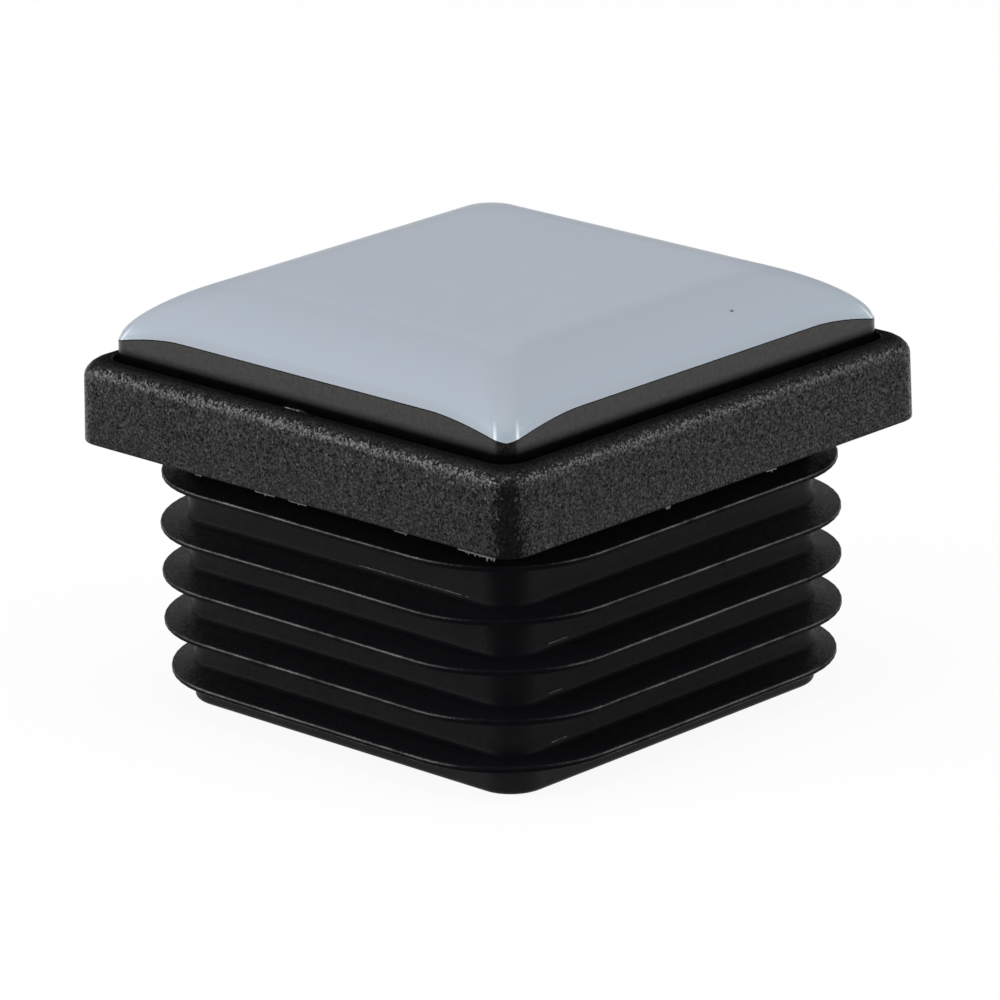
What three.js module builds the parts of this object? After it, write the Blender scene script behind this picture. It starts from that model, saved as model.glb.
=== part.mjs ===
// Square tube glide: a finned plastic insert that is pushed into the end of a square tube, with a bonded
// low-friction pad on its head. Millimetres, +Z up. The origin is the centre of the plug's open end, and
// the gliding face looks up. Every cross-section is a square with rounded corners, so each piece is a
// loft through such squares.

import * as THREE from "three";

// Tube that the glide closes
const tubeWidth = 30; // outside width, which the head covers flush
const tubeWall = 1.5;

// Head
const headHeight = 4.3;
const headDraft = 0.08; // how far each side leans in on its way up
const headCornerRadius = 1.3; // upright corners
const headTopRadius = 1.0; // outer upper edge
const headUnderRadius = 0.15; // outer lower edge
const headWeb = 2.2; // plastic between the tray's floor and the hollow plug
const rimWidth = 1.1; // from the head's side to the tray
const rimLeastFlat = 0.1; // flat left on the rim's top where its edge radius is large
const trayDepth = 0.68;

// Plug
const plugClearance = 1.9; // from the tube's bore to the plug's wall
const plugCornerRadius = 1.85;
const plugWall = 2.0;
const plugTip = 1.76; // from the open end to the middle of the last fin
const plugTipRadius = 0.3; // rounded lead-in at the open end
const hollowCornerRadius = 1.0;

// Fins
const finCount = 5;
const firstFinDrop = 1.7; // from the head's underside to the middle of the first fin
const firstFinPitch = 2.69; // from the first fin to the second
const finPitch = 2.54; // between the fins after that
const finGrip = 0.45; // how far each relaxed fin is larger than the bore, on each side
const firstFinEase = 0.1; // how much smaller the first fin is on each side
const lastFinEase = 0.2; // the same for the last fin, to start it in the tube
const finCornerRadius = 6.4;
const finEdge = 0.3; // thickness at the rim
const finRoot = 0.6; // thickness at the plug's wall
const seatGap = 0.05; // from the fins out to the flat that the tube's end bears on

// Pad
const padClearance = 0.3; // gap to the tray all round
const padHeight = 4.25;
const padDraft = 0.1; // how far each side leans in below the roll-off
const padCornerRadius = 1.0; // upright corners
const rollWidth = 4.9; // plan width of the rounded edge
const rollHeight = 2.75; // height of the rounded edge
const rollPower = 1.5; // 2 is an ellipse, less is a flatter slope
const skinThickness = 0.5;
const skinDropSide = 2.37; // from the top down to the skin's lower edge, along a side
const skinDropCorner = 3.1; // the same at a corner, where the edge dips
const skinDipReach = 5.0; // how far along a side the dip starts from the corner
const skinDipPower = 1.65;
const bondLine = 0.05; // film between the skin and the core

// Adhesive
const adhesiveThickness = 0.3;
const adhesiveInset = 0.5; // set back from the pad's side

// Smoothness of the lofts
const cornerSteps = 6;
const padSideSteps = 10;
const edgeRoundSteps = 4;
const rollSteps = 7;
const rollSpacing = 1.7; // over 1 gathers the rings near the flat top

// Sizes that follow from the ones above
const quarterTurn = Math.PI / 2;
const upwards = new THREE.Vector3(0, 0, 1);
const tubeBoreHalf = tubeWidth / 2 - tubeWall;
const headHalf = tubeWidth / 2;
const plugHalf = tubeBoreHalf - plugClearance;
const finHalf = tubeBoreHalf + finGrip;
const plugLength = plugTip + (finCount - 2) * finPitch + firstFinPitch + firstFinDrop;
const rimLevel = plugLength + headHeight;
const trayFloor = rimLevel - trayDepth;
const trayHalf = headHalf - rimWidth;
const padHalf = trayHalf - padClearance;
const padBase = trayFloor + adhesiveThickness;
const padTop = padBase + padHeight;

// Places round a rounded square, counter-clockwise from above: each is a turn round one of the four
// corners, and then a way along the side after it.
function squarePlaces(sideSteps) {
  const places = [];
  for (let quarter = 0; quarter < 4; quarter += 1) {
    for (let step = 0; step <= cornerSteps; step += 1) {
      places.push({ quarter, turn: step / cornerSteps, along: 0 });
    }
    for (let step = 1; step < sideSteps; step += 1) {
      const along = (1 - Math.cos((Math.PI * step) / sideSteps)) / 2;
      places.push({ quarter, turn: 1, along });
    }
  }
  return places;
}

function pointOnSquare(place, half, radius, z) {
  const round = Math.min(radius, half);
  const centre = half - round;
  const angle = place.turn * quarterTurn;
  const x = centre + round * Math.cos(angle) - 2 * centre * place.along;
  const y = centre + round * Math.sin(angle);
  return new THREE.Vector3(x, y, z).applyAxisAngle(upwards, place.quarter * quarterTurn);
}

const plainPlaces = squarePlaces(1);
const padPlaces = squarePlaces(padSideSteps);

function plainRing(half, radius, z) {
  return plainPlaces.map((place) => pointOnSquare(place, half, radius, z));
}

// Rings round a quarter of a circle, from an upright side to a flat face, or back. The edge's centre is
// one radius in from the half width.
function edgeRings(half, cornerRadius, edgeRadius, centreZ, fromAngle, toAngle) {
  const rings = [];
  for (let step = 0; step <= edgeRoundSteps; step += 1) {
    const angle = fromAngle + ((toAngle - fromAngle) * step) / edgeRoundSteps;
    const inset = edgeRadius * (1 - Math.cos(angle));
    rings.push(plainRing(half - inset, cornerRadius - inset, centreZ + edgeRadius * Math.sin(angle)));
  }
  return rings;
}

// A closed surface through rings of equally many points, with a flat cap on the first and the last ring.
function loft(rings) {
  const count = rings[0].length;
  const points = rings.flat();
  const triangles = [];
  const corner = (ring, place) => ring * count + (place % count);
  for (let ring = 0; ring + 1 < rings.length; ring += 1) {
    for (let place = 0; place < count; place += 1) {
      const a = corner(ring, place);
      const b = corner(ring, place + 1);
      const c = corner(ring + 1, place + 1);
      const d = corner(ring + 1, place);
      triangles.push(a, b, c, a, c, d);
    }
  }
  const firstCentre = points.push(middleOf(rings[0])) - 1;
  const lastCentre = points.push(middleOf(rings.at(-1))) - 1;
  const last = rings.length - 1;
  for (let place = 0; place < count; place += 1) {
    triangles.push(firstCentre, corner(0, place + 1), corner(0, place));
    triangles.push(lastCentre, corner(last, place), corner(last, place + 1));
  }
  const geometry = new THREE.BufferGeometry().setFromPoints(points);
  geometry.setIndex(triangles);
  geometry.computeVertexNormals();
  return geometry;
}

function middleOf(ring) {
  const sum = new THREE.Vector3();
  ring.forEach((point) => sum.add(point));
  return sum.divideScalar(ring.length);
}

// Insert: rings from the hollow's ceiling down its wall, round the open end, up past the fins, out under
// the head, up its side, over the rim and down into the tray.
function hollowRings() {
  const hollowHalf = plugHalf - plugWall;
  const ceiling = trayFloor - headWeb;
  return [plainRing(hollowHalf, hollowCornerRadius, ceiling), plainRing(hollowHalf, hollowCornerRadius, 0)];
}

function finHalfWidth(index) {
  if (index === 0) {
    return finHalf - firstFinEase;
  }
  return index === finCount - 1 ? finHalf - lastFinEase : finHalf;
}

function finLevel(index) {
  const first = plugLength - firstFinDrop;
  return index === 0 ? first : first - firstFinPitch - (index - 1) * finPitch;
}

function finRings(index) {
  const half = finHalfWidth(index);
  const middle = finLevel(index);
  return [
    plainRing(plugHalf, plugCornerRadius, middle - finRoot / 2),
    plainRing(half, finCornerRadius, middle - finEdge / 2),
    plainRing(half, finCornerRadius, middle + finEdge / 2),
    plainRing(plugHalf, plugCornerRadius, middle + finRoot / 2),
  ];
}

function plugRings() {
  const rings = edgeRings(plugHalf, plugCornerRadius, plugTipRadius, plugTipRadius, -quarterTurn, 0);
  for (let index = finCount - 1; index >= 0; index -= 1) {
    rings.push(...finRings(index));
  }
  rings.push(plainRing(plugHalf, plugCornerRadius, plugLength));
  return rings;
}

function headRings() {
  const topHalf = headHalf - headDraft;
  const topRadius = Math.min(headTopRadius, rimWidth - headDraft - rimLeastFlat);
  const underCentre = plugLength + headUnderRadius;
  const trayRadius = padCornerRadius + padClearance;
  return [
    plainRing(finHalf + seatGap, headCornerRadius, plugLength),
    ...edgeRings(headHalf, headCornerRadius, headUnderRadius, underCentre, -quarterTurn, 0),
    ...edgeRings(topHalf, headCornerRadius, topRadius, rimLevel - topRadius, 0, quarterTurn),
    plainRing(trayHalf, trayRadius, rimLevel),
    plainRing(trayHalf, trayRadius, trayFloor),
  ];
}

function insertGeometry() {
  return loft([...hollowRings(), ...plugRings(), ...headRings()]);
}

// Adhesive: a flat layer on the tray's floor.
function adhesiveGeometry() {
  const half = padHalf - adhesiveInset;
  return loft([plainRing(half, padCornerRadius, trayFloor), plainRing(half, padCornerRadius, padBase)]);
}

// Pad surfaces: how far in from the base's side a surface lies at a drop below the pad's top. A depth of
// 0 is the outside, and more is a parallel surface inside it.
function padInset(drop, depth) {
  const width = rollWidth - depth;
  const height = rollHeight - depth;
  const below = drop - depth;
  if (below >= height) {
    const lean = (padDraft * (below - height)) / (padHeight - rollHeight);
    return depth + padDraft - lean;
  }
  const rise = 1 - below / height;
  const reach = (1 - rise ** rollPower) ** (1 / rollPower);
  return depth + padDraft + width * (1 - reach);
}

function padPoint(place, drop, depth) {
  const half = padHalf - padInset(drop, depth);
  return pointOnSquare(place, half, padCornerRadius, padTop - drop);
}

// The skin's lower edge dips towards each corner.
function skinDrop(place) {
  const base = pointOnSquare(place, padHalf, padCornerRadius, 0);
  const fromCorner = padHalf - Math.min(Math.abs(base.x), Math.abs(base.y));
  const dip = Math.max(0, 1 - fromCorner / skinDipReach) ** skinDipPower;
  return skinDropSide + (skinDropCorner - skinDropSide) * dip;
}

// Rings over the rounded edge, from the skin's lower edge to the flat top.
function rollRings(depth, edgeGap) {
  const rings = [];
  for (let step = rollSteps; step >= 0; step -= 1) {
    const share = (step / rollSteps) ** rollSpacing;
    rings.push(padPlaces.map((place) => {
      const edge = skinDrop(place) + edgeGap;
      return padPoint(place, depth + (edge - depth) * share, depth);
    }));
  }
  return rings;
}

// Core: up the pad's side to the skin's edge, in under the skin, and over to the flat top.
function coreGeometry() {
  const base = padPlaces.map((place) => padPoint(place, padHeight, 0));
  const shoulder = padPlaces.map((place) => padPoint(place, skinDrop(place) + bondLine, 0));
  return loft([base, shoulder, ...rollRings(skinThickness + bondLine, bondLine)]);
}

// Skin: from the middle of its underside down to its edge, and back over the outside to the top.
function skinGeometry() {
  return loft([...rollRings(skinThickness, 0).reverse(), ...rollRings(0, 0)]);
}

function piece(name, geometry, color, roughness) {
  const material = new THREE.MeshStandardMaterial({ color, roughness, metalness: 0 });
  const mesh = new THREE.Mesh(geometry, material);
  mesh.name = name;
  return mesh;
}

const glide = new THREE.Group();
glide.name = "square_tube_glide";
glide.add(
  piece("tube_insert", insertGeometry(), 0x1c1c1d, 0.45),
  piece("adhesive_layer", adhesiveGeometry(), 0x0e0e10, 0.2),
  piece("rubber_core", coreGeometry(), 0x262524, 0.4),
  piece("sole_skin", skinGeometry(), 0xaab2bc, 0.35),
);

export default glide;
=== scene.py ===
"""Square tube glide, dressed for a product picture.

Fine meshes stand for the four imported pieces: the moulded insert with its thin fins, the adhesive with a
little squeezed up into the groove, the rubber core and the blue-grey gliding skin. Shapes are worked out
in millimetres, in the frame's own axes, and turned into metres when a mesh is made.
"""

import math

import bpy
import numpy as np
from mathutils import Matrix, Vector, noise


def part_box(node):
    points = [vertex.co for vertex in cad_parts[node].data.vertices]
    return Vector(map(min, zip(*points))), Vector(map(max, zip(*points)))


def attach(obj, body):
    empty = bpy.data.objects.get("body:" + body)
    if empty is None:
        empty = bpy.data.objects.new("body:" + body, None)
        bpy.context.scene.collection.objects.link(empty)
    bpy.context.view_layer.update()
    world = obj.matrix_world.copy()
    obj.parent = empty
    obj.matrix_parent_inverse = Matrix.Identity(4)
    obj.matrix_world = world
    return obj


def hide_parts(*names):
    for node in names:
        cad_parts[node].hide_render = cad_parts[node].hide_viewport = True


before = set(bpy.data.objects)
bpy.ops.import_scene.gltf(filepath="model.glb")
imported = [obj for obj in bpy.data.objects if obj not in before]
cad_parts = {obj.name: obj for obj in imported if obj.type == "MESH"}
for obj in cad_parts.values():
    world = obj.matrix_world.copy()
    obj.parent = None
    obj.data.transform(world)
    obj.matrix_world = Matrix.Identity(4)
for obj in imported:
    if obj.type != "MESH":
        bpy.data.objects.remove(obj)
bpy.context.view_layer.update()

MM = 0.001


def box_mm(node):
    """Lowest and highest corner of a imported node, in millimetres."""
    low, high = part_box(node)
    return low / MM, high / MM


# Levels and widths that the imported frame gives
_, insert_high = box_mm("tube_insert")
adhesive_low, _ = box_mm("adhesive_layer")
core_low, core_high = box_mm("rubber_core")
_, skin_high = box_mm("sole_skin")
HEAD_HALF = insert_high.x
RIM_LEVEL = insert_high.z
TRAY_FLOOR = adhesive_low.z
PAD_BASE = core_low.z
PAD_HALF = core_high.x
PAD_TOP = skin_high.z

# Head, with its edges a little sharper than in the part's source
HEAD_HEIGHT = 4.3
HEAD_DRAFT = 0.08
HEAD_CORNER_RADIUS = 1.3
HEAD_TOP_RADIUS = 0.92
HEAD_UNDER_RADIUS = 0.12
HEAD_WEB = 2.2
RIM_WIDTH = 1.1
TRAY_EDGE_RADIUS = 0.12
TRAY_CORNER_RADIUS = 1.3
TRAY_HALF = HEAD_HALF - RIM_WIDTH
PLUG_LENGTH = RIM_LEVEL - HEAD_HEIGHT

# Flash left on the head's lower edge: quarter turn of the side, start and end along it, and how far it hangs
FLASH_STRETCHES = [
    (0, 11.5, 14.0, 0.3),
    (0, -6.4, -5.9, 0.2),
    (0, -2.2, -0.8, 0.14),
    (0, 0.1, 1.4, 0.11),
    (0, 7.3, 8.2, 0.14),
    (1, 3.2, 4.0, 0.25),
    (1, -4.1, -3.7, 0.7),
]
FLASH_STEP = 0.02
FLASH_SOFT_END = 0.1  # over which each end tapers
FLASH_SCALE = 6.5  # teeth per millimetre
FLASH_SKIRT = 0.12  # share of the hang that is left between the teeth
FLASH_ROOT = 0.08  # where it grows out of the edge
FLASH_INSET = 0.04  # from the head's side
FLASH_WIDTH = 0.05
FLASH_LEAN = 0.15  # how far a tooth leans out for each millimetre that it hangs

# Plug
PLUG_HALF = 11.6
PLUG_CORNER_RADIUS = 1.85
PLUG_WALL = 2.0
PLUG_TIP_RADIUS = 0.3
PLUG_TOP_FILLET = 0.25
HOLLOW_HALF = PLUG_HALF - PLUG_WALL
HOLLOW_CORNER_RADIUS = 1.0
HOLLOW_FILLET = 0.6
HOLLOW_MOUTH_RADIUS = 0.2
HOLLOW_CEILING = TRAY_FLOOR - HEAD_WEB

# Streaks on the plug's walls: quarter turn of the side, start and end along it, and level
STREAKS = [
    (1, -9.0, -7.5, 7.38),
    (1, -9.05, -8.0, 4.84),
    (1, -9.0, -7.7, 2.3),
    (0, 0.5, 9.7, 9.88),
]
STREAK_STEPS = 40
STREAK_SCALE = 3.0  # bumps per millimetre
STREAK_HEIGHT = 0.04
STREAK_WIDTH = 0.12
STREAK_ROOT = 0.02  # how deep it sits in the wall
STREAK_END = 0.02  # share of its length, at each end, where its height stays the same

# Fins
FIN_COUNT = 5
FIRST_FIN_DROP = 1.7
FIRST_FIN_PITCH = 2.69
FIN_PITCH = 2.54
FIN_HALF = 13.95
FIRST_FIN_EASE = 0.1
LAST_FIN_EASE = 0.2
FIN_CORNER_RADIUS = 6.4
FIN_EDGE = 0.3
FIN_ROOT = 0.6
FIN_EDGE_RADIUS = 0.14
FIN_ROOT_FILLET = 0.3
FIN_WAVE = 0.035  # how far a thin rim wanders up and down
FIN_WAVE_SCALE = 0.16  # waves per millimetre
FIN_WAVE_START = 3.0  # level in the noise that the first fin's wave is taken from
FIN_WAVE_APART = 7.3  # from one fin's level in the noise to the next

# Pad
PAD_HEIGHT = PAD_TOP - PAD_BASE
PAD_DRAFT = 0.1
PAD_CORNER_RADIUS = 1.0
PAD_FOOT_RADIUS = 0.12
ROLL_WIDTH = 4.9
ROLL_HEIGHT = 2.75
ROLL_POWER = 1.5
ROLL_SPACING = 1.7
ROLL_CORNER_GAIN = 1.0  # how much rounder the corners are where the flat top begins
SKIN_THICKNESS = 0.5
SKIN_LIP = 0.3  # height over which the skin's edge turns out to the core
SKIN_LINE = 0.05  # height of the fine gap under the skin's edge
CORE_LEAN = 0.01  # how far the core's side leans in on its way up to the skin
SKIN_DROP_SIDE = 2.22
SKIN_DROP_CORNER = 3.05
SKIN_DIP_REACH = 5.0
SKIN_DIP_POWER = 1.65
BOND_LINE = 0.05

# Adhesive in the groove between the pad and the tray
GROOVE_GAP = 0.02  # left to each wall of the groove
BEAD_LOW = 0.12  # height over the tray's floor where little was squeezed out
BEAD_HIGH = 0.5  # where a stretch was squeezed up on the -Y side
BEAD_FROM_X, BEAD_TO_X = -6.2, 1.5
BEAD_SOFT_END = 0.7
BLOB_HIGH = 0.21  # how much higher a short blob stands on that stretch
BLOB_X, BLOB_REACH = -0.5, 0.8
BLOB_POWER = 0.3  # less makes the blob's top flatter
BEAD_UNEVEN = 0.05  # how far the bead's height varies all round
BEAD_UNEVEN_SCALE = 0.9  # lumps per millimetre
BEAD_FOOT = 0.6  # how far under the pad's edge the bead begins

# Section of the bead: distance from the groove's wall, and share of the bead's height
BEAD_OUTER_SIDE = [(0, 0.62), (0.03, 0.76), (0.08, 0.89)]
BEAD_INNER_SIDE = [(0.04, 0.97), (0, 0.9)]

# Smoothness of the lofts
CORNER_STEPS = 12
SIDE_STEPS = 40
ARC_STEPS = 6
ROLL_STEPS = 36
TOP_RINGS = 8
CORE_SIDE_STEPS = 8
LIP_STEPS = 6
CAP_INSET = 2.0  # how far inside the last wall a loft's flat end begins
SHARP_ANGLE = 32.0  # edges that turn by more degrees are shaded sharp


# Lofts through rounded squares
def square_places():
    """Places round a rounded square, counter-clockwise from above: each is a quarter, a turn round its
    corner, and then a way along the side after it."""
    places = []
    for quarter in range(4):
        for step in range(CORNER_STEPS + 1):
            places.append((quarter, step / CORNER_STEPS, 0.0))
        for step in range(1, SIDE_STEPS):
            along = (1 - math.cos(math.pi * step / SIDE_STEPS)) / 2
            places.append((quarter, 1.0, along))
    return np.array(places)


PLACES = square_places()
TURN_COS = np.cos(PLACES[:, 1] * math.pi / 2)
TURN_SIN = np.sin(PLACES[:, 1] * math.pi / 2)
QUARTER_COS = np.round(np.cos(PLACES[:, 0] * math.pi / 2))
QUARTER_SIN = np.round(np.sin(PLACES[:, 0] * math.pi / 2))
ALONG = PLACES[:, 2]


def square_ring(half, radius, level):
    """Points round a rounded square at a level. Each argument is one number, or one for each place."""
    round_off = np.minimum(radius, half)
    centre = half - round_off
    x = centre + round_off * TURN_COS - 2 * centre * ALONG
    y = centre + round_off * TURN_SIN
    z = np.broadcast_to(np.asarray(level, float), x.shape)
    return np.stack([x * QUARTER_COS - y * QUARTER_SIN, x * QUARTER_SIN + y * QUARTER_COS, z], axis=1)


def mesh_object(name, points, faces, material):
    """A new mesh object with one material. The points are in metres."""
    mesh = bpy.data.meshes.new(name)
    mesh.from_pydata(points, [], faces)
    mesh.materials.append(material)
    new_object = bpy.data.objects.new(name, mesh)
    bpy.context.scene.collection.objects.link(new_object)
    return new_object


def lofted_piece(name, rings, material, node=None):
    """A closed mesh through rings of equally many points, with a flat cap on the first and last ring. It
    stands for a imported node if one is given."""
    count = len(rings[0])
    points = np.concatenate(rings) * MM
    faces = []
    for ring in range(len(rings) - 1):
        for place in range(count):
            after = (place + 1) % count
            here, above = ring * count, (ring + 1) * count
            faces.append((here + place, here + after, above + after, above + place))
    last = (len(rings) - 1) * count
    faces.append(tuple(reversed(range(count))))
    faces.append(tuple(range(last, last + count)))
    piece = mesh_object(name, points.tolist(), faces, material)
    piece.data.shade_smooth()
    piece.data.set_sharp_from_angle(angle=math.radians(SHARP_ANGLE))
    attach(piece, "root")
    if node is not None:
        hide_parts(node)
    return piece


def rounded_path(stations):
    """Smooths a path of stations. A station is half width, level, edge radius, and then values that are
    blended along the path. Each corner becomes an arc of its own edge radius."""
    table = np.array(stations, float)
    path = [table[0]]
    for before, here, after in zip(table, table[1:], table[2:]):
        radius = here[2]
        if radius == 0:
            path.append(here)
            continue
        back, ahead = before - here, after - here
        back_length = math.hypot(*back[:2])
        ahead_length = math.hypot(*ahead[:2])
        cosine = float(back[:2] @ ahead[:2]) / (back_length * ahead_length)
        half_angle = math.acos(max(-1.0, min(1.0, cosine))) / 2
        tangent = radius / math.tan(half_angle)
        start = here + back * tangent / back_length
        end = here + ahead * tangent / ahead_length
        weight = math.sin(half_angle)
        for share in np.linspace(0, 1, ARC_STEPS + 1):
            first = (1 - share) ** 2
            middle = 2 * share * (1 - share) * weight
            final = share**2
            path.append((first * start + middle * here + final * end) / (first + middle + final))
    path.append(table[-1])
    return path


# Insert
def fin_half_width(index):
    """The first and the last fin are a little smaller than the rest."""
    if index == 0:
        return FIN_HALF - FIRST_FIN_EASE
    if index == FIN_COUNT - 1:
        return FIN_HALF - LAST_FIN_EASE
    return FIN_HALF


def fin_level(index):
    """Level of a fin's middle plane. Fins are counted down from the head."""
    first = PLUG_LENGTH - FIRST_FIN_DROP
    if index == 0:
        return first
    return first - FIRST_FIN_PITCH - (index - 1) * FIN_PITCH


def fin_stations(index):
    """Out along a fin's underside, round its rim and back along its top."""
    half, middle = fin_half_width(index), fin_level(index)
    root, edge = FIN_ROOT / 2, FIN_EDGE / 2
    return [
        (PLUG_HALF, middle - root, FIN_ROOT_FILLET, PLUG_CORNER_RADIUS, 0, index),
        (half, middle - edge, FIN_EDGE_RADIUS, FIN_CORNER_RADIUS, 1, index),
        (half, middle + edge, FIN_EDGE_RADIUS, FIN_CORNER_RADIUS, 1, index),
        (PLUG_HALF, middle + root, FIN_ROOT_FILLET, PLUG_CORNER_RADIUS, 0, index),
    ]


def insert_stations():
    """The insert's profile, from the hollow's ceiling round the open end, up past the fins and over the
    head into the tray. A station ends with plan radius, share of the fin's wave, and fin number."""
    inside = [
        (HOLLOW_HALF - CAP_INSET, HOLLOW_CEILING, 0, HOLLOW_CORNER_RADIUS, 0, 0),
        (HOLLOW_HALF, HOLLOW_CEILING, HOLLOW_FILLET, HOLLOW_CORNER_RADIUS, 0, 0),
        (HOLLOW_HALF, 0, HOLLOW_MOUTH_RADIUS, HOLLOW_CORNER_RADIUS, 0, 0),
        (PLUG_HALF, 0, PLUG_TIP_RADIUS, PLUG_CORNER_RADIUS, 0, 0),
    ]
    fins = []
    for index in reversed(range(FIN_COUNT)):
        fins += fin_stations(index)
    head = [
        (PLUG_HALF, PLUG_LENGTH, PLUG_TOP_FILLET, PLUG_CORNER_RADIUS, 0, 0),
        (HEAD_HALF, PLUG_LENGTH, HEAD_UNDER_RADIUS, HEAD_CORNER_RADIUS, 0, 0),
        (HEAD_HALF - HEAD_DRAFT, RIM_LEVEL, HEAD_TOP_RADIUS, HEAD_CORNER_RADIUS, 0, 0),
        (TRAY_HALF, RIM_LEVEL, TRAY_EDGE_RADIUS, TRAY_CORNER_RADIUS, 0, 0),
        (TRAY_HALF, TRAY_FLOOR, TRAY_EDGE_RADIUS, TRAY_CORNER_RADIUS, 0, 0),
        (TRAY_HALF - CAP_INSET, TRAY_FLOOR, 0, TRAY_CORNER_RADIUS, 0, 0),
    ]
    return inside + fins + head


def fin_waves():
    """For each fin, how far its rim lies above or below its level at each place."""
    outline = square_ring(FIN_HALF, FIN_CORNER_RADIUS, 0)
    waves = []
    for index in range(FIN_COUNT):
        level = FIN_WAVE_START + index * FIN_WAVE_APART
        wave = [noise.noise(Vector((x, y, level)) * FIN_WAVE_SCALE) for x, y, _ in outline]
        waves.append(FIN_WAVE * np.array(wave))
    return waves


def make_insert(material):
    waves = fin_waves()
    rings = []
    for half, level, _, plan_radius, loose, fin in rounded_path(insert_stations()):
        rings.append(square_ring(half, plan_radius, level + loose * waves[int(round(fin))]))
    return lofted_piece("insert_moulding", rings, material, "tube_insert")


def make_flash(material):
    """Ragged bits of flash that hang from the head's lower outer edge."""
    for number, (quarter, start, end, hang) in enumerate(FLASH_STRETCHES, 1):
        turn = np.array(Matrix.Rotation(quarter * math.pi / 2, 3, "Z"))
        rings = []
        for along in np.arange(start, end, FLASH_STEP):
            ends = min(1.0, (along - start) / FLASH_SOFT_END, (end - along) / FLASH_SOFT_END)
            tooth = max(noise.noise(Vector((along * FLASH_SCALE, number, 0))), 0)
            tip = hang * ends * (FLASH_SKIRT + tooth)
            section = np.array([
                (along, FLASH_INSET + FLASH_WIDTH - HEAD_HALF, PLUG_LENGTH + FLASH_ROOT),
                (along, FLASH_INSET - HEAD_HALF, PLUG_LENGTH + FLASH_ROOT),
                (along, FLASH_INSET - HEAD_HALF - tip * FLASH_LEAN, PLUG_LENGTH - tip),
            ])
            rings.append(section @ turn.T)
        lofted_piece(f"edge_flash_{number}", rings, material)


def make_streaks(material):
    """Thin raised streaks on the plug's walls, just over a fin's root, whose pale colour is a painted
    highlight.
    """
    for number, (quarter, start, end, level) in enumerate(STREAKS, 1):
        turn = np.array(Matrix.Rotation(quarter * math.pi / 2, 3, "Z"))
        rings = []
        for share in np.linspace(0, 1, STREAK_STEPS + 1):
            along = start + (end - start) * share
            uneven = 1 + noise.noise(Vector((along * STREAK_SCALE, level, 0)))
            swell = math.sin(math.pi * min(max(share, STREAK_END), 1 - STREAK_END))
            section = np.array([
                (along, STREAK_ROOT - PLUG_HALF, level + STREAK_WIDTH / 2),
                (along, -PLUG_HALF - STREAK_HEIGHT * uneven * swell, level),
                (along, STREAK_ROOT - PLUG_HALF, level - STREAK_WIDTH / 2),
            ])
            rings.append(section @ turn.T)
        lofted_piece(f"wall_streak_{number}", rings, material)


# Pad
def pad_inset(drop, depth):
    """How far in from the pad's foot a surface lies at a drop below the pad's top. A depth of 0 is the
    skin's outside, and more is a parallel surface inside it."""
    width, height = ROLL_WIDTH - depth, ROLL_HEIGHT - depth
    below = np.asarray(drop, float) - depth
    rise = np.clip(1 - below / height, 0, 1)
    reach = (1 - rise**ROLL_POWER) ** (1 / ROLL_POWER)
    lean = PAD_DRAFT * np.clip(below - height, 0, None) / (PAD_HEIGHT - ROLL_HEIGHT)
    return depth + PAD_DRAFT + width * (1 - reach) - lean


def pad_ring(drop, depth):
    inset = pad_inset(drop, depth)
    radius = PAD_CORNER_RADIUS + ROLL_CORNER_GAIN * np.clip(inset - PAD_DRAFT - depth, 0, None) / ROLL_WIDTH
    return square_ring(PAD_HALF - inset, radius, PAD_TOP - drop)


def skin_drop():
    """Drop of the skin's lower edge at each place. It dips towards each corner."""
    foot = square_ring(PAD_HALF, PAD_CORNER_RADIUS, 0)
    from_corner = PAD_HALF - np.minimum(np.abs(foot[:, 0]), np.abs(foot[:, 1]))
    dip = np.clip(1 - from_corner / SKIN_DIP_REACH, 0, None) ** SKIN_DIP_POWER
    return SKIN_DROP_SIDE + (SKIN_DROP_CORNER - SKIN_DROP_SIDE) * dip


def roll_rings(depth, edge):
    """Rings from a lower edge over the rounded border to the flat top, and in towards its middle."""
    rings = []
    for step in range(ROLL_STEPS + 1):
        share = (1 - step / ROLL_STEPS) ** ROLL_SPACING
        rings.append(pad_ring(depth + (edge - depth) * share, depth))
    top_half = PAD_HALF - float(pad_inset(depth, depth))
    top_radius = PAD_CORNER_RADIUS + ROLL_CORNER_GAIN
    for step in range(1, TOP_RINGS):
        rings.append(square_ring(top_half * (1 - step / TOP_RINGS), top_radius, PAD_TOP - depth))
    return rings


def core_lean(drop):
    """How far in from the pad's foot the core's straight side lies at a drop."""
    return CORE_LEAN * (PAD_HEIGHT - drop) / (PAD_HEIGHT - SKIN_DROP_SIDE)


def make_core(material):
    """Up the core's straight side to the skin's edge, in, and over below the skin."""
    shoulder = skin_drop() + SKIN_LINE
    foot = PAD_HEIGHT - PAD_FOOT_RADIUS
    rings = [pad_ring(PAD_HEIGHT, PAD_FOOT_RADIUS)]
    for step in range(CORE_SIDE_STEPS + 1):
        drop = foot + (shoulder - foot) * step / CORE_SIDE_STEPS
        rings.append(square_ring(PAD_HALF - core_lean(drop), PAD_CORNER_RADIUS, PAD_TOP - drop))
    rings += roll_rings(SKIN_THICKNESS + BOND_LINE, shoulder)
    return lofted_piece("pad_core", rings, material, "rubber_core")


def lip_ring(drop, edge):
    """A ring of the skin's outside near its lower edge, where it turns out to lie flush with the core."""
    share = np.clip(1 - (edge - drop) / SKIN_LIP, 0, 1) ** 2
    rolled = pad_inset(drop, 0)
    inset = rolled + share * (core_lean(drop) - rolled)
    return square_ring(PAD_HALF - inset, PAD_CORNER_RADIUS, PAD_TOP - drop)


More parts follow.
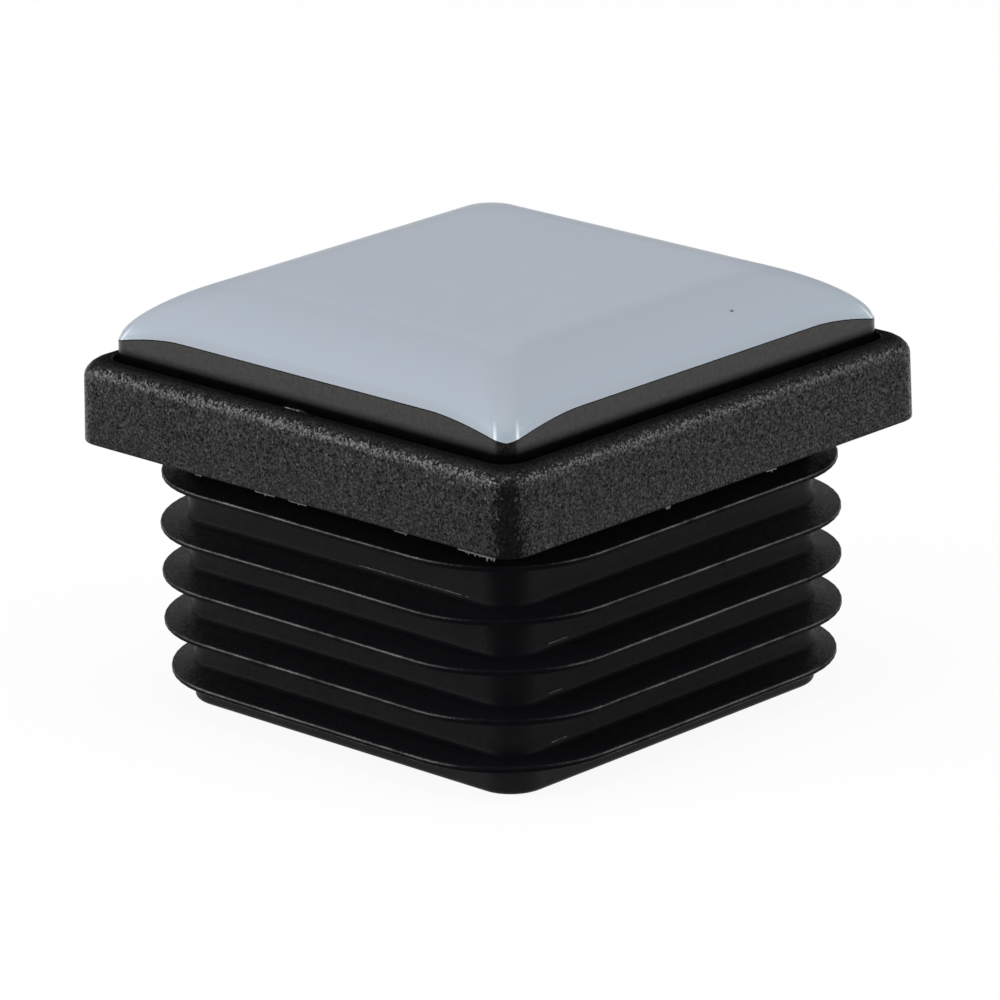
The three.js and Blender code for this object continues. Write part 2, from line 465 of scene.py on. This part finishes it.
def make_skin(material):
    """Down the skin's underside, out along its lower edge, up round the lip and over the outside."""
    edge = skin_drop()
    underside = list(reversed(roll_rings(SKIN_THICKNESS, edge)))
    lip = []
    for step in range(LIP_STEPS):
        lip.append(lip_ring(edge - SKIN_LIP * step / LIP_STEPS, edge))
    outside = roll_rings(0, edge - SKIN_LIP)
    return lofted_piece("pad_skin", [*underside, *lip, *outside], material, "sole_skin")


# Adhesive
def bead_height():
    """Height of the adhesive in the groove at each place. One stretch was squeezed up on the -Y side."""
    outline = square_ring(TRAY_HALF, TRAY_CORNER_RADIUS, 0)
    x, y = outline[:, 0], outline[:, 1]
    inside = np.minimum(x - BEAD_FROM_X, BEAD_TO_X - x) / BEAD_SOFT_END
    share = np.clip(inside, 0, 1) * (y < -PAD_HALF)
    smooth = share * share * (3 - 2 * share)
    blob = np.clip(1 - np.abs(x - BLOB_X) / BLOB_REACH, 0, 1) ** BLOB_POWER * smooth
    lumps = np.array([noise.noise(Vector(point) * BEAD_UNEVEN_SCALE) for point in outline])
    return BEAD_LOW + (BEAD_HIGH - BEAD_LOW) * smooth + BLOB_HIGH * blob + BEAD_UNEVEN * lumps


def groove_ring(half, level):
    return square_ring(half, TRAY_CORNER_RADIUS, level)


def make_adhesive(material):
    """A layer on the tray's floor with a bead round it, up in the groove."""
    height = bead_height()
    outer = TRAY_HALF - GROOVE_GAP
    inner = PAD_HALF + GROOVE_GAP
    rings = [groove_ring(outer - CAP_INSET, TRAY_FLOOR), groove_ring(outer, TRAY_FLOOR)]
    for inset, share in BEAD_OUTER_SIDE:
        rings.append(groove_ring(outer - inset, TRAY_FLOOR + height * share))
    rings.append(groove_ring((outer + inner) / 2, TRAY_FLOOR + height))
    for inset, share in BEAD_INNER_SIDE:
        rings.append(groove_ring(inner + inset, TRAY_FLOOR + height * share))
    rings.append(groove_ring(inner - BEAD_FOOT, PAD_BASE))
    rings.append(groove_ring(inner - CAP_INSET, PAD_BASE))
    return lofted_piece("bond_adhesive", rings, material, "adhesive_layer")


# Materials, with lengths in millimetres
NOISE_LOW, NOISE_HIGH = 0.3, 0.7  # most values of a noise texture lie between these
GRAIN_START = 0.1  # height over the head's lower edge where its grain begins
GRAIN_SOFT = 0.04
FACETS_PER_MM = 9.0
HEAD_FACET_TILT = 0.47
WALL_FACET_TILT = 0.08
FIN_FACET_TILT = 0.16
FIN_LOOK_START = 0.2  # distance from the plug's wall where a fin's look begins
FIN_LOOK_SOFT = 0.08
POLISH_START, POLISH_FULL = 3.0, 7.0  # distance from the diagonals over which the rims' polish comes in
CORE_SHADE_HEIGHT = 0.48  # height over the head's rim up to which the core's colour and gloss are darkened as painted shade
CORE_SHADE_SOFT = 0.22

# Small dark mark on the skin
MARK_CENTRE = (11.55, 4.65, PAD_TOP - 0.94)
MARK_SIZE = (0.12, 0.16, 0.08)
MARK_FULL = 0.5  # share of its size that has its full colour

# Painted highlights: pale upright lines on the skin at each corner
HIGHLIGHT_LINE_APART = 0.76  # distance of a line from the diagonal
HIGHLIGHT_LINE_DROP = 2.75  # of the middle of a line below the pad's top
HIGHLIGHT_LINE_WIDTH = 0.16
HIGHLIGHT_LINE_HEIGHT = 0.7


def new_material(name):
    """A new material, its node tree and its shader."""
    material = bpy.data.materials.new(name)
    material.use_nodes = True
    tree = material.node_tree
    return material, tree, tree.nodes["Principled BSDF"]


def feed(tree, value, socket):
    """Gives a socket its value, which is plain or comes from a node."""
    if isinstance(value, bpy.types.NodeSocket):
        tree.links.new(value, socket)
    else:
        socket.default_value = value


def add_place(tree):
    """The place on the object, in metres."""
    return tree.nodes.new("ShaderNodeTexCoord").outputs["Object"]


def add_split(tree, vector):
    """The three parts of a vector, which are called X, Y and Z."""
    node = tree.nodes.new("ShaderNodeSeparateXYZ")
    tree.links.new(vector, node.inputs["Vector"])
    return node.outputs


def add_math(tree, operation, first, second=None):
    node = tree.nodes.new("ShaderNodeMath")
    node.operation = operation
    feed(tree, first, node.inputs[0])
    if second is not None:
        feed(tree, second, node.inputs[1])
    return node.outputs["Value"]


def add_product(tree, first, second):
    return add_math(tree, "MULTIPLY", first, second)


def add_distance(tree, first, second):
    """How far apart two values are."""
    return add_math(tree, "ABSOLUTE", add_math(tree, "SUBTRACT", first, second))


def add_vector_math(tree, operation, first, second=None):
    node = tree.nodes.new("ShaderNodeVectorMath")
    node.operation = operation
    feed(tree, first, node.inputs[0])
    if second is not None:
        feed(tree, second, node.inputs[1])
    return node.outputs["Vector"]


def add_triple(tree, value):
    """A vector with the same value in all three places."""
    node = tree.nodes.new("ShaderNodeCombineXYZ")
    for axis in "XYZ":
        tree.links.new(value, node.inputs[axis])
    return node.outputs["Vector"]


def add_noise(tree, scale, detail, roughness=0.5):
    """A noise texture. The scale is in grains per millimetre."""
    texture = tree.nodes.new("ShaderNodeTexNoise")
    texture.inputs["Scale"].default_value = scale / MM
    texture.inputs["Detail"].default_value = detail
    texture.inputs["Roughness"].default_value = roughness
    tree.links.new(add_place(tree), texture.inputs["Vector"])
    return texture.outputs["Fac"]


def add_range(tree, value, low, high, from_low=NOISE_LOW, from_high=NOISE_HIGH):
    """Maps a range of a value, which is a noise's usual range if none is given, to another range."""
    node = tree.nodes.new("ShaderNodeMapRange")
    node.inputs["From Min"].default_value = from_low
    node.inputs["From Max"].default_value = from_high
    node.inputs["To Min"].default_value = low
    node.inputs["To Max"].default_value = high
    tree.links.new(value, node.inputs["Value"])
    return node.outputs["Result"]


def add_blend(tree, share, first, second):
    """A value between two values. Each is a number or comes from a node."""
    node = tree.nodes.new("ShaderNodeMix")
    node.data_type = "FLOAT"
    tree.links.new(share, node.inputs["Factor"])
    feed(tree, first, node.inputs["A"])
    feed(tree, second, node.inputs["B"])
    return node.outputs["Result"]


def add_colour_blend(tree, share, first, second):
    """A colour between two colours. Each is red, green and blue, or comes from a node."""
    node = tree.nodes.new("ShaderNodeMix")
    node.data_type = "RGBA"
    tree.links.new(share, node.inputs["Factor"])
    for colour, socket in ((first, node.inputs["A"]), (second, node.inputs["B"])):
        opaque = (*colour, 1) if isinstance(colour, tuple) else colour
        feed(tree, opaque, socket)
    return node.outputs["Result"]


def add_bump(tree, height, depth, strength, below=None):
    """A bump whose depth is in millimetres, on top of another normal if one is given."""
    node = tree.nodes.new("ShaderNodeBump")
    node.inputs["Distance"].default_value = depth * MM
    node.inputs["Strength"].default_value = strength
    tree.links.new(height, node.inputs["Height"])
    if below is not None:
        tree.links.new(below, node.inputs["Normal"])
    return node.outputs["Normal"]


def add_facets(tree, scale, tilt):
    """A normal that tilts at random from one small facet to the next. The scale is in facets per mm."""
    cells = tree.nodes.new("ShaderNodeTexVoronoi")
    cells.inputs["Scale"].default_value = scale / MM
    tree.links.new(add_place(tree), cells.inputs["Vector"])
    centred = add_vector_math(tree, "SUBTRACT", cells.outputs["Color"], (0.5, 0.5, 0.5))
    tilts = add_vector_math(tree, "MULTIPLY", centred, add_triple(tree, tilt))
    surface = tree.nodes.new("ShaderNodeNewGeometry")
    tilted = add_vector_math(tree, "ADD", surface.outputs["Normal"], tilts)
    return add_vector_math(tree, "NORMALIZE", tilted)


def add_slope(tree):
    """1 where the surface faces straight up, and 0 where it is upright."""
    place = tree.nodes.new("ShaderNodeTexCoord")
    return add_split(tree, place.outputs["Normal"])["Z"]


def add_step(tree, value, middle, softness):
    """1 where a length is over a middle and 0 where it is under it, both in millimetres."""
    return add_range(tree, value, 0, 1, (middle - softness) * MM, (middle + softness) * MM)


def add_level_mask(tree, level, softness):
    """1 above a level and 0 below it."""
    return add_step(tree, add_split(tree, add_place(tree))["Z"], level, softness)


def add_sizes(tree):
    """The distances from the three middle planes, which are called X, Y and Z."""
    return add_split(tree, add_vector_math(tree, "ABSOLUTE", add_place(tree)))


def add_reach_mask(tree, reach, softness):
    """1 farther than a reach from the axis, measured square to the sides, and 0 nearer."""
    sizes = add_sizes(tree)
    return add_step(tree, add_math(tree, "MAXIMUM", sizes["X"], sizes["Y"]), reach, softness)


def add_diagonal_distance(tree):
    """Distance from the nearer diagonal, measured along a side."""
    sizes = add_sizes(tree)
    return add_distance(tree, sizes["X"], sizes["Y"])


def add_mark(tree):
    """1 in the middle of the skin's small mark and 0 outside it."""
    offset = add_vector_math(tree, "SUBTRACT", add_place(tree), [axis * MM for axis in MARK_CENTRE])
    scaled = add_vector_math(tree, "DIVIDE", offset, [axis * MM for axis in MARK_SIZE])
    distance = tree.nodes.new("ShaderNodeVectorMath")
    distance.operation = "LENGTH"
    tree.links.new(scaled, distance.inputs[0])
    return add_range(tree, distance.outputs["Value"], 1, 0, MARK_FULL, 1)


def add_painted_highlight_lines(tree):
    """1 on two short upright lines at each corner of the skin, fading to 0 around them. They are painted
    highlights.
    """
    from_line = add_distance(tree, add_diagonal_distance(tree), HIGHLIGHT_LINE_APART * MM)
    from_level = add_distance(tree, add_sizes(tree)["Z"], (PAD_TOP - HIGHLIGHT_LINE_DROP) * MM)
    on_line = add_range(tree, from_line, 1, 0, 0, HIGHLIGHT_LINE_WIDTH * MM)
    at_level = add_range(tree, from_level, 1, 0, 0, HIGHLIGHT_LINE_HEIGHT * MM)
    return add_product(tree, on_line, at_level)


def add_head_gloss(tree, slope, on_top):
    """Glints in the open grain, more of them on the worn upper edge and few on the flat rim."""
    pits = add_noise(tree, scale=8, detail=2, roughness=0.6)
    open_grain = add_range(tree, pits, 0.0, 0.43, from_low=0.33, from_high=0.73)
    worn = add_range(tree, slope, 1.0, 1.7, from_low=0.1, from_high=0.4)
    worn_grain = add_product(tree, open_grain, worn)
    return add_product(tree, worn_grain, add_blend(tree, on_top, 1.0, 0.12))


def add_plug_gloss(tree, slope, on_top, on_fin):
    """Dull walls, and fins with patches of polish on their rims, which fades towards the corners."""
    patches = add_noise(tree, scale=0.6, detail=3, roughness=0.7)
    polish = add_range(tree, slope, 0.02, 0.6, from_low=0.0, from_high=0.4)
    along_side = add_range(tree, add_diagonal_distance(tree), 0.3, 1.0, POLISH_START * MM, POLISH_FULL * MM)
    side_polish = add_product(tree, polish, along_side)
    rim_gloss = add_product(tree, side_polish, add_range(tree, patches, 0.15, 1.1))
    wall_gloss = add_range(tree, slope, 0.1, 0.04, from_low=0.05, from_high=0.3)
    side_gloss = add_blend(tree, on_fin, wall_gloss, rim_gloss)
    return add_blend(tree, on_top, side_gloss, 0.3)


def insert_material():
    """Black moulded plastic: spark-eroded grain on the head, dull plug walls and fins with polished rims."""
    material, tree, shader = new_material("black_moulded_plastic")
    on_head = add_level_mask(tree, PLUG_LENGTH + GRAIN_START, GRAIN_SOFT)
    on_fin = add_reach_mask(tree, PLUG_HALF + FIN_LOOK_START, FIN_LOOK_SOFT)
    slope = add_slope(tree)
    on_top = add_range(tree, slope, 0, 1, from_low=0.72, from_high=0.97)
    flow = add_noise(tree, scale=0.5, detail=3)

    plug_tilt = add_blend(tree, on_fin, WALL_FACET_TILT, FIN_FACET_TILT)
    facets = add_facets(tree, FACETS_PER_MM, add_blend(tree, on_head, plug_tilt, HEAD_FACET_TILT))
    tree.links.new(add_bump(tree, flow, depth=0.04, strength=0.4, below=facets), shader.inputs["Normal"])

    flowing = add_range(tree, flow, 0, 1)
    plug_tint = add_colour_blend(tree, flowing, (0.0031, 0.0031, 0.0043), (0.0045, 0.0045, 0.0058))
    head_tint = add_colour_blend(tree, flowing, (0.0033, 0.0033, 0.0032), (0.0048, 0.0048, 0.0046))
    tree.links.new(add_colour_blend(tree, on_head, plug_tint, head_tint), shader.inputs["Base Color"])

    side_roughness = add_blend(tree, on_fin, 0.45, 0.32)
    plug_roughness = add_blend(tree, on_top, side_roughness, 0.4)
    head_roughness = add_blend(tree, on_top, 0.26, 0.7)
    tree.links.new(add_blend(tree, on_head, plug_roughness, head_roughness), shader.inputs["Roughness"])

    plug_gloss = add_plug_gloss(tree, slope, on_top, on_fin)
    head_gloss = add_head_gloss(tree, slope, on_top)
    tree.links.new(add_blend(tree, on_head, plug_gloss, head_gloss), shader.inputs["Specular IOR Level"])
    return material


def scuffed_and_highlight_material():
    """The same plastic, paler and rough: torn or scuffed on the flash, and a painted highlight on the wall
    streaks.
    """
    material, tree, shader = new_material("scuffed_and_highlight_plastic")
    fibres = add_noise(tree, scale=12, detail=2)
    pale = add_range(tree, fibres, 0, 1)
    tint = add_colour_blend(tree, pale, (0.008, 0.008, 0.008), (0.1, 0.1, 0.095))
    tree.links.new(tint, shader.inputs["Base Color"])
    tree.links.new(add_bump(tree, fibres, depth=0.03, strength=0.8), shader.inputs["Normal"])
    shader.inputs["Roughness"].default_value = 0.35
    return material


def adhesive_material():
    """Black and glossy, with soft lumps."""
    material, tree, shader = new_material("glossy_adhesive")
    lumps = add_noise(tree, scale=1.2, detail=2)
    tree.links.new(add_bump(tree, lumps, depth=0.05, strength=0.5), shader.inputs["Normal"])
    raised = add_range(tree, lumps, 0, 1)
    tint = add_colour_blend(tree, raised, (0.004, 0.004, 0.005), (0.008, 0.008, 0.009))
    tree.links.new(tint, shader.inputs["Base Color"])
    shader.inputs["Roughness"].default_value = 0.08
    return material


def core_material():
    """Black rubber, slightly glossy with fine pores, with painted shade at its foot: darker and less glossy
    there.
    """
    material, tree, shader = new_material("black_rubber")
    cloud = add_noise(tree, scale=1.6, detail=4, roughness=0.65)
    pores = add_noise(tree, scale=6, detail=3, roughness=0.7)
    tree.links.new(add_bump(tree, pores, depth=0.01, strength=0.6), shader.inputs["Normal"])
    clouded = add_range(tree, cloud, 0, 1)
    speckled = add_range(tree, pores, 0, 1)
    side_tint = add_colour_blend(tree, speckled, (0.001, 0.0008, 0.0006), (0.021, 0.0188, 0.0175))
    # Painted shade: near the head's rim the core is darkened and its gloss lowered, standing in for the
    # groove's shade
    foot_shade_tint = add_colour_blend(tree, clouded, (0.001, 0.001, 0.001), (0.002, 0.002, 0.002))
    above_foot_shade = add_level_mask(tree, RIM_LEVEL + CORE_SHADE_HEIGHT, CORE_SHADE_SOFT)
    tree.links.new(add_colour_blend(tree, above_foot_shade, foot_shade_tint, side_tint), shader.inputs["Base Color"])
    tree.links.new(add_blend(tree, above_foot_shade, 0.02, 0.42), shader.inputs["Specular IOR Level"])
    tree.links.new(add_range(tree, cloud, 0.22, 0.32), shader.inputs["Roughness"])
    return material


def add_skin_tint_and_shade(tree, clouded, slope):
    """The skin's tint, with painted shade: darker on the shoulder round its flat face, and darker and a
    little bluer on the slopes.
    """
    flat_tint = add_colour_blend(tree, clouded, (0.392, 0.421, 0.487), (0.387, 0.431, 0.487))
    shoulder_shade_tint = add_colour_blend(tree, clouded, (0.352, 0.384, 0.439), (0.346, 0.392, 0.441))
    slope_shade_tint = add_colour_blend(tree, clouded, (0.31, 0.372, 0.42), (0.304, 0.38, 0.422))
    on_flat = add_range(tree, slope, 0, 1, from_low=0.97, from_high=1.0)
    raised_shade_tint = add_colour_blend(tree, on_flat, shoulder_shade_tint, flat_tint)
    on_shoulder = add_range(tree, slope, 0, 1, from_low=0.4, from_high=0.85)
    return add_colour_blend(tree, on_shoulder, slope_shade_tint, raised_shade_tint)


def skin_material():
    """Blue-grey low-friction skin, satin, with faint clouds, fine pits, one small dark mark, painted
    shade on its shoulder and slopes, and painted highlights as pale lines at its corners."""
    material, tree, shader = new_material("blue_grey_skin")
    cloud = add_noise(tree, scale=0.7, detail=4, roughness=0.6)
    pits = add_noise(tree, scale=5, detail=2)
    tree.links.new(add_bump(tree, pits, depth=0.01, strength=0.25), shader.inputs["Normal"])
    clouded = add_range(tree, cloud, 0, 1)
    slope = add_slope(tree)
    # The skin's tint carries painted shade on its shoulder and slopes
    shaded_skin_tint = add_skin_tint_and_shade(tree, clouded, slope)
    mark_tint = add_colour_blend(tree, clouded, (0.1, 0.105, 0.11), (0.12, 0.125, 0.13))
    marked_tint = add_colour_blend(tree, add_mark(tree), shaded_skin_tint, mark_tint)
    # Painted highlights: pale upright lines at each corner of the skin
    painted_highlight_tint = add_colour_blend(tree, clouded, (0.78, 0.82, 0.85), (0.8, 0.84, 0.87))
    tint = add_colour_blend(tree, add_painted_highlight_lines(tree), marked_tint, painted_highlight_tint)
    tree.links.new(tint, shader.inputs["Base Color"])
    satin = add_range(tree, slope, 0.13, 0.32, from_low=0.3, from_high=0.7)
    tree.links.new(add_product(tree, satin, add_range(tree, cloud, 0.9, 1.1)), shader.inputs["Roughness"])
    gloss = add_range(tree, slope, 0.6, 0.1, from_low=0.35, from_high=0.7)
    tree.links.new(gloss, shader.inputs["Specular IOR Level"])
    return material


def add_seen_share(tree, share):
    """A share for rays from the camera and from mirror or clear surfaces, and 0 for all others."""
    rays = tree.nodes.new("ShaderNodeLightPath").outputs
    reflected = add_math(tree, "MAXIMUM", rays["Is Glossy Ray"], rays["Is Transmission Ray"])
    seen = add_math(tree, "MAXIMUM", rays["Is Camera Ray"], reflected)
    return add_blend(tree, seen, 0.0, share)


def floor_material():
    """Pale floor that the camera and mirror reflections see nearly white, with the shadow left in it."""
    material, tree, shader = new_material("pale_floor")
    cloud = add_noise(tree, scale=0.02, detail=2)
    tint = add_colour_blend(tree, add_range(tree, cloud, 0, 1), (0.93, 0.93, 0.93), (0.95, 0.95, 0.95))
    tree.links.new(tint, shader.inputs["Base Color"])
    shader.inputs["Roughness"].default_value = 0.9
    shader.inputs["Specular IOR Level"].default_value = 0.0
    glow = tree.nodes.new("ShaderNodeEmission")
    blend = tree.nodes.new("ShaderNodeMixShader")
    tree.links.new(add_seen_share(tree, FLOOR_GLOW), blend.inputs["Fac"])
    tree.links.new(shader.outputs["BSDF"], blend.inputs[1])
    tree.links.new(glow.outputs["Emission"], blend.inputs[2])
    tree.links.new(blend.outputs["Shader"], tree.nodes["Material Output"].inputs["Surface"])
    return material


def card_material():
    """Dull black card."""
    material, tree, shader = new_material("black_card")
    fibres = add_noise(tree, scale=0.5, detail=2)
    tint = add_colour_blend(tree, add_range(tree, fibres, 0, 1), (0.1, 0.1, 0.1), (0.12, 0.12, 0.12))
    tree.links.new(tint, shader.inputs["Base Color"])
    shader.inputs["Roughness"].default_value = 1.0
    shader.inputs["Specular IOR Level"].default_value = 0.0
    return material


# Stage: floor, card, world, lamps and camera
FLOOR_SIZE = 3.0  # in metres
FLOOR_GLOW = 0.92  # share of plain white in the floor that the camera sees
WORLD_LEVEL = 0.28
CARD_REACH = (24.0, 320.0)  # the black card, from near the object to below the camera
CARD_HALF_ANGLE = 44.0
CARD_STEPS = 24
CARD_LIFT = 0.2
LAMP_DISTANCE = 0.5  # in metres, as the lamps' sizes are
LAMP_AIM = Vector((0, 0, 0.01))
VIEW_AZIMUTH = 43.98
VIEW_ELEVATION = 18.19
VIEW_ROLL = -1.35
VIEW_DISTANCE = 350.16
VIEW_LENS = 251.5
VIEW_NEAR, VIEW_FAR = 0.01, 10.0  # what the camera sees lies between these, in metres
AIM_LEVEL = 9.99
AIM_SHIFT = -0.037  # to the picture's right
SENSOR_WIDTH = 36.0


def direction(azimuth, elevation):
    turn, rise = math.radians(azimuth), math.radians(elevation)
    return Vector((math.sin(turn) * math.cos(rise), -math.cos(turn) * math.cos(rise), math.sin(rise)))


def make_floor():
    reach = FLOOR_SIZE / 2
    corners = [(-reach, -reach, 0), (reach, -reach, 0), (reach, reach, 0), (-reach, reach, 0)]
    floor = mesh_object("floor", corners, [(0, 1, 2, 3)], floor_material())


def make_card():
    """A black card on the floor in front, which only reflections show, as a studio's dark side does."""
    points = []
    for reach in CARD_REACH:
        for step in range(CARD_STEPS + 1):
            turn = CARD_HALF_ANGLE * (2 * step / CARD_STEPS - 1)
            away = direction(VIEW_AZIMUTH + turn, 0) * reach
            points.append((away.x * MM, away.y * MM, CARD_LIFT * MM))
    row = CARD_STEPS + 1
    faces = [(step, row + step, row + step + 1, step + 1) for step in range(CARD_STEPS)]
    card = mesh_object("black_card", points, faces, card_material())
    card.visible_camera = False
    card.visible_diffuse = False
    card.visible_transmission = False
    card.visible_shadow = False


def make_world():
    world = bpy.data.worlds.new("studio")
    bpy.context.scene.world = world
    world.use_nodes = True
    background = world.node_tree.nodes["Background"]
    background.inputs["Color"].default_value = (1, 1, 1, 1)
    background.inputs["Strength"].default_value = WORLD_LEVEL


def make_softbox(name, turn, elevation, width, height, radiance, mirrored=True):
    """An area lamp that faces the object, turned in degrees from the camera. The radiance is 1 for the
    brightness of a white floor. A lamp that is not mirrored lights the object but leaves no highlight."""
    lamp = bpy.data.lights.new(name, "AREA")
    lamp.shape = "RECTANGLE"
    lamp.size = width
    lamp.size_y = height
    lamp.energy = radiance * math.pi * width * height
    box = bpy.data.objects.new(name, lamp)
    bpy.context.scene.collection.objects.link(box)
    away = direction(VIEW_AZIMUTH + turn, elevation)
    box.location = LAMP_AIM + away * LAMP_DISTANCE
    box.rotation_mode = "QUATERNION"
    box.rotation_quaternion = (-away).to_track_quat("-Z", "Y")
    box.visible_glossy = mirrored


def make_lamps():
    """A long panel on each side for the highlights, a softbox above, and a weak fill from the front."""
    make_softbox("left_panel", turn=-80, elevation=19, width=0.62, height=0.27, radiance=4.3)
    make_softbox("right_panel", turn=76, elevation=19, width=0.66, height=0.27, radiance=2.95)
    make_softbox("top_softbox", turn=0, elevation=85, width=0.3, height=0.3, radiance=3.6)
    make_softbox("front_softbox", turn=0, elevation=50, width=0.5, height=0.3, radiance=0.5, mirrored=False)


def make_camera():
    """The camera as fitted to the photo, rolled a little and aimed at the object's middle."""
    back = direction(VIEW_AZIMUTH, VIEW_ELEVATION)
    level_right = direction(VIEW_AZIMUTH + 90, 0)
    level_up = back.cross(level_right)
    roll = math.radians(VIEW_ROLL)
    right = level_right * math.cos(roll) + level_up * math.sin(roll)
    up = level_up * math.cos(roll) - level_right * math.sin(roll)
    aim = Vector((0, 0, AIM_LEVEL)) + right * AIM_SHIFT
    data = bpy.data.cameras.new("photo_view")
    data.sensor_width = SENSOR_WIDTH
    data.lens = VIEW_LENS
    data.clip_start = VIEW_NEAR
    data.clip_end = VIEW_FAR
    camera = bpy.data.objects.new("photo_view", data)
    bpy.context.scene.collection.objects.link(camera)
    turn = Matrix((right, up, back)).transposed().to_4x4()
    camera.matrix_world = Matrix.Translation((aim + back * VIEW_DISTANCE) * MM) @ turn
    bpy.context.scene.camera = camera


# The object and its stage
make_insert(insert_material())
# Pale plastic: scuffed on the flash, and a painted highlight on the wall streaks
scuffed_and_highlight_plastic = scuffed_and_highlight_material()
make_flash(scuffed_and_highlight_plastic)
make_streaks(scuffed_and_highlight_plastic)
make_adhesive(adhesive_material())
make_core(core_material())
make_skin(skin_material())

make_floor()
make_card()
make_world()
make_lamps()
make_camera()
bpy.context.scene.view_settings.view_transform = "Standard"
